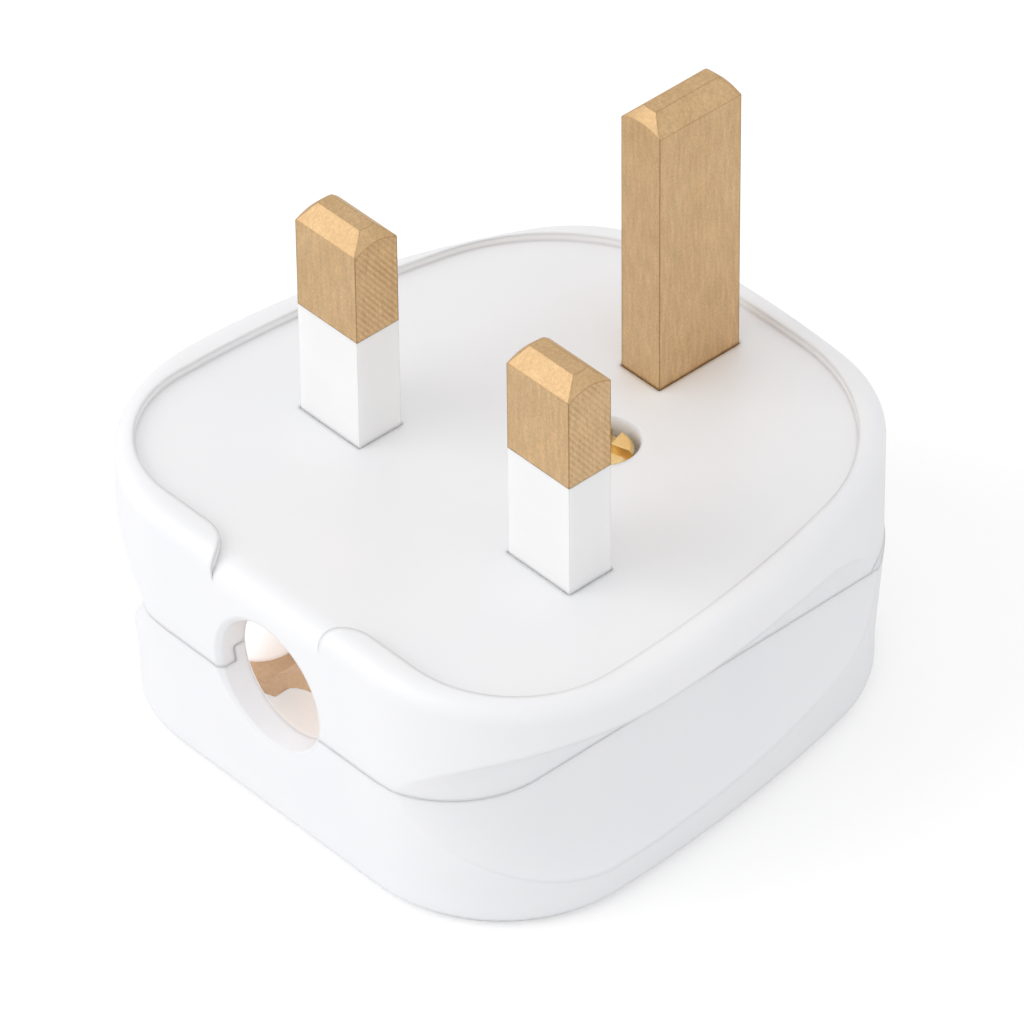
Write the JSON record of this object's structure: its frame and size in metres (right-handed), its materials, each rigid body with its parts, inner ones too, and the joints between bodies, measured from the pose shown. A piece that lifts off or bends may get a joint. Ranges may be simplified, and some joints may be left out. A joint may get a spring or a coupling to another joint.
{
  "type": "uk three pin plug",
  "caption": "Rewirable fused mains plug with rectangular brass pins, insulating sleeves, moulded base and cover with finger grips, and a clamped cord entry.",
  "frame": {"origin": "middle of the cover's back face, which the plug lies on", "axes": "+Z the way the pins point, +Y towards the earth pin, +X towards the neutral pin"},
  "size_m": [0.0508, 0.0494, 0.045],
  "materials": {
    "moulding": "satin",
    "pin_brass": "satin, drawn and milled",
    "sleeve": "satin",
    "screw_brass": "satin",
    "screw_steel": "zinc plated",
    "clip_spring": "tinned",
    "fuse_cap": "nickel plated",
    "fuse_ceramic": "matt",
    "fuse_link": "drawn",
    "clamp_fibre": "pressed fibre",
    "washer_fibre": "pressed fibre"
  },
  "bodies": {
    "root": {"base": "moulding", "cover": "moulding", "earth_pin": "pin_brass", "neutral_pin": "pin_brass", "live_pin": "pin_brass", "live_terminal": "pin_brass", "neutral_sleeve": "sleeve", "live_sleeve": "sleeve", "cover_screw": "screw_brass", "cover_nut": "screw_brass", "pin_clip_rivet": "screw_brass", "terminal_clip_rivet": "screw_brass", "earth_terminal_screw": "screw_steel", "neutral_terminal_screw": "screw_steel", "live_terminal_screw": "screw_steel", "cord_clamp_screw_left": "screw_steel", "cord_clamp_screw_right": "screw_steel", "pin_fuse_clip": "clip_spring", "terminal_fuse_clip": "clip_spring", "fuse_cap_front": "fuse_cap", "fuse_cap_rear": "fuse_cap", "fuse_barrel": "fuse_ceramic", "fuse_wire": "fuse_link", "cord_clamp": "clamp_fibre", "screw_retainer": "washer_fibre"}
  },
  "joints": []
}
